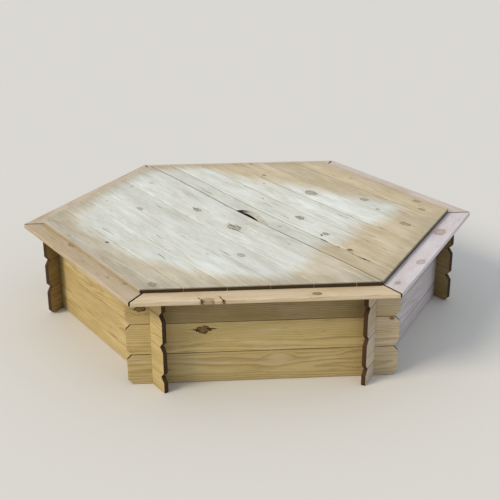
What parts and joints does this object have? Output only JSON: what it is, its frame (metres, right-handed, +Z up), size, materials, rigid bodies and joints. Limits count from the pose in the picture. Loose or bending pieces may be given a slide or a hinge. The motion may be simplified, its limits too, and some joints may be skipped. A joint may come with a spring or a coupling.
{
  "type": "sandbox with cover",
  "caption": "Hexagonal garden sandpit of interlocked pine boards with a mitred seat ring and a board lid, split across the middle, that lifts off in halves.",
  "frame": {"origin": "middle of the hexagonal footprint, at ground level", "axes": "+Z up; +X along the split between the two lid halves, towards a corner of the hexagon; +Y towards the half with the finger cut; walls a to f face 30, 90, 150, 210, 270 and 330 degrees from +X"},
  "size_m": [1.7982, 1.5588, 0.379],
  "materials": {
    "wall_pine": "planed pressure-treated pine, olive-yellow, matt",
    "seat_pine": "planed pine, lightly weathered, matt",
    "lid_pine": "planed pine, bleached grey by weather, matt",
    "batten_pine": "sawn pressure-treated pine, matt",
    "zinc_screw": "zinc plated, dull"
  },
  "bodies": {
    "frame": {"wall_a_board_1": "wall_pine", "wall_a_board_2": "wall_pine", "wall_a_board_3": "wall_pine", "wall_a_board_4": "wall_pine", "wall_b_board_1": "wall_pine", "wall_b_board_2": "wall_pine", "wall_b_board_3": "wall_pine", "wall_c_board_1": "wall_pine", "wall_c_board_2": "wall_pine", "wall_c_board_3": "wall_pine", "wall_c_board_4": "wall_pine", "wall_d_board_1": "wall_pine", "wall_d_board_2": "wall_pine", "wall_d_board_3": "wall_pine", "wall_e_board_1": "wall_pine", "wall_e_board_2": "wall_pine", "wall_e_board_3": "wall_pine", "wall_e_board_4": "wall_pine", "wall_f_board_1": "wall_pine", "wall_f_board_2": "wall_pine", "wall_f_board_3": "wall_pine", "seat_a": "seat_pine", "seat_b": "seat_pine", "seat_c": "seat_pine", "seat_d": "seat_pine", "seat_e": "seat_pine", "seat_f": "seat_pine", "seat_screws": "zinc_screw"},
    "lid_rear": {"lid_rear_board_1": "lid_pine", "lid_rear_board_2": "lid_pine", "lid_rear_board_3": "lid_pine", "lid_rear_board_4": "lid_pine", "lid_rear_board_5": "lid_pine", "lid_rear_board_6": "lid_pine", "lid_rear_batten_1": "batten_pine", "lid_rear_batten_2": "batten_pine", "lid_rear_batten_3": "batten_pine", "lid_rear_batten_4": "batten_pine", "lid_rear_screws": "zinc_screw"},
    "lid_front": {"lid_front_board_1": "lid_pine", "lid_front_board_2": "lid_pine", "lid_front_board_3": "lid_pine", "lid_front_board_4": "lid_pine", "lid_front_board_5": "lid_pine", "lid_front_board_6": "lid_pine", "lid_front_batten_1": "batten_pine", "lid_front_batten_2": "batten_pine", "lid_front_batten_3": "batten_pine", "lid_front_batten_4": "batten_pine", "lid_front_screws": "zinc_screw"}
  },
  "joints": [
    {"name": "lid_rear_lift", "type": "slide", "parent": "frame", "child": "lid_rear", "axis": [0, 0, 1], "range_m": [0, 0.3]},
    {"name": "lid_front_lift", "type": "slide", "parent": "frame", "child": "lid_front", "axis": [0, 0, 1], "range_m": [0, 0.3]}
  ]
}
